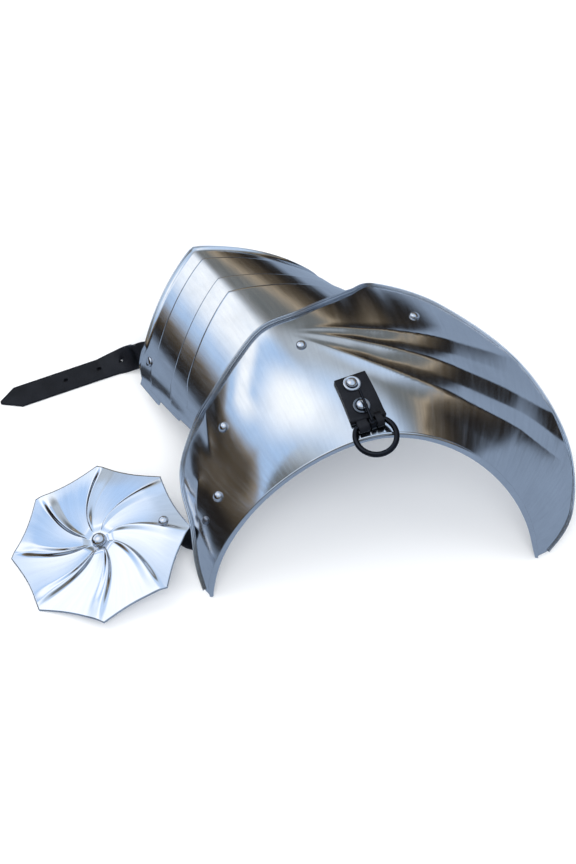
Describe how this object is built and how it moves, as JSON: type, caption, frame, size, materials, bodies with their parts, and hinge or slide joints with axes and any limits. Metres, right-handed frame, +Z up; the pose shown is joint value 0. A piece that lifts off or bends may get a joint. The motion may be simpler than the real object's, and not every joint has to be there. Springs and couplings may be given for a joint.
{
  "type": "pauldron",
  "caption": "Right shoulder armour of polished plate with a fluted back wing, nested arm lames, a hanging fluted disc, a buckle on a leather tab and a leather arm strap.",
  "frame": {"origin": "middle of the bounding box, on the surface it rests on", "axes": "+Y out along the arm, away from the neck; +X to the wearer's back; +Z up"},
  "size_m": [0.3552, 0.3382, 0.1254],
  "materials": {
    "plate": "satin polish",
    "rivet": "polished",
    "leather": "black, dyed, lightly waxed",
    "inner_leather": "dark, unpolished",
    "buckle": "blackened"
  },
  "bodies": {
    "plates": {"main_plate": "plate", "lame_1": "plate", "lame_2": "plate", "lame_3": "plate", "lame_4": "plate", "inner_leather_1": "inner_leather", "inner_leather_2": "inner_leather", "inner_leather_3": "inner_leather", "plate_rivet_1": "rivet", "plate_rivet_2": "rivet", "plate_rivet_3": "rivet", "plate_rivet_4": "rivet", "disc_strap_rivet": "buckle", "buckle_tab": "leather", "tab_rivet_1": "rivet", "tab_rivet_2": "rivet", "tab_washer_1": "rivet", "tab_washer_2": "rivet", "disc": "plate", "disc_hub_rivet": "rivet", "disc_rivet": "rivet", "disc_strap": "leather", "arm_strap": "leather", "arm_strap_rivet": "rivet"},
    "ring": {"buckle_frame": "buckle"},
    "tongue": {"buckle_tongue": "buckle"}
  },
  "joints": [
    {"name": "ring_swing", "type": "hinge", "parent": "plates", "child": "ring", "pos_m": [0.03834, -0.08061, 0.11232], "axis": [-0.9539, 0.2785, -0.1122], "range_deg": [0, 60]},
    {"name": "tongue_swing", "type": "hinge", "parent": "plates", "child": "tongue", "pos_m": [0.03834, -0.08061, 0.11232], "axis": [0.9539, -0.2785, 0.1122], "range_deg": [0, 88]}
  ]
}
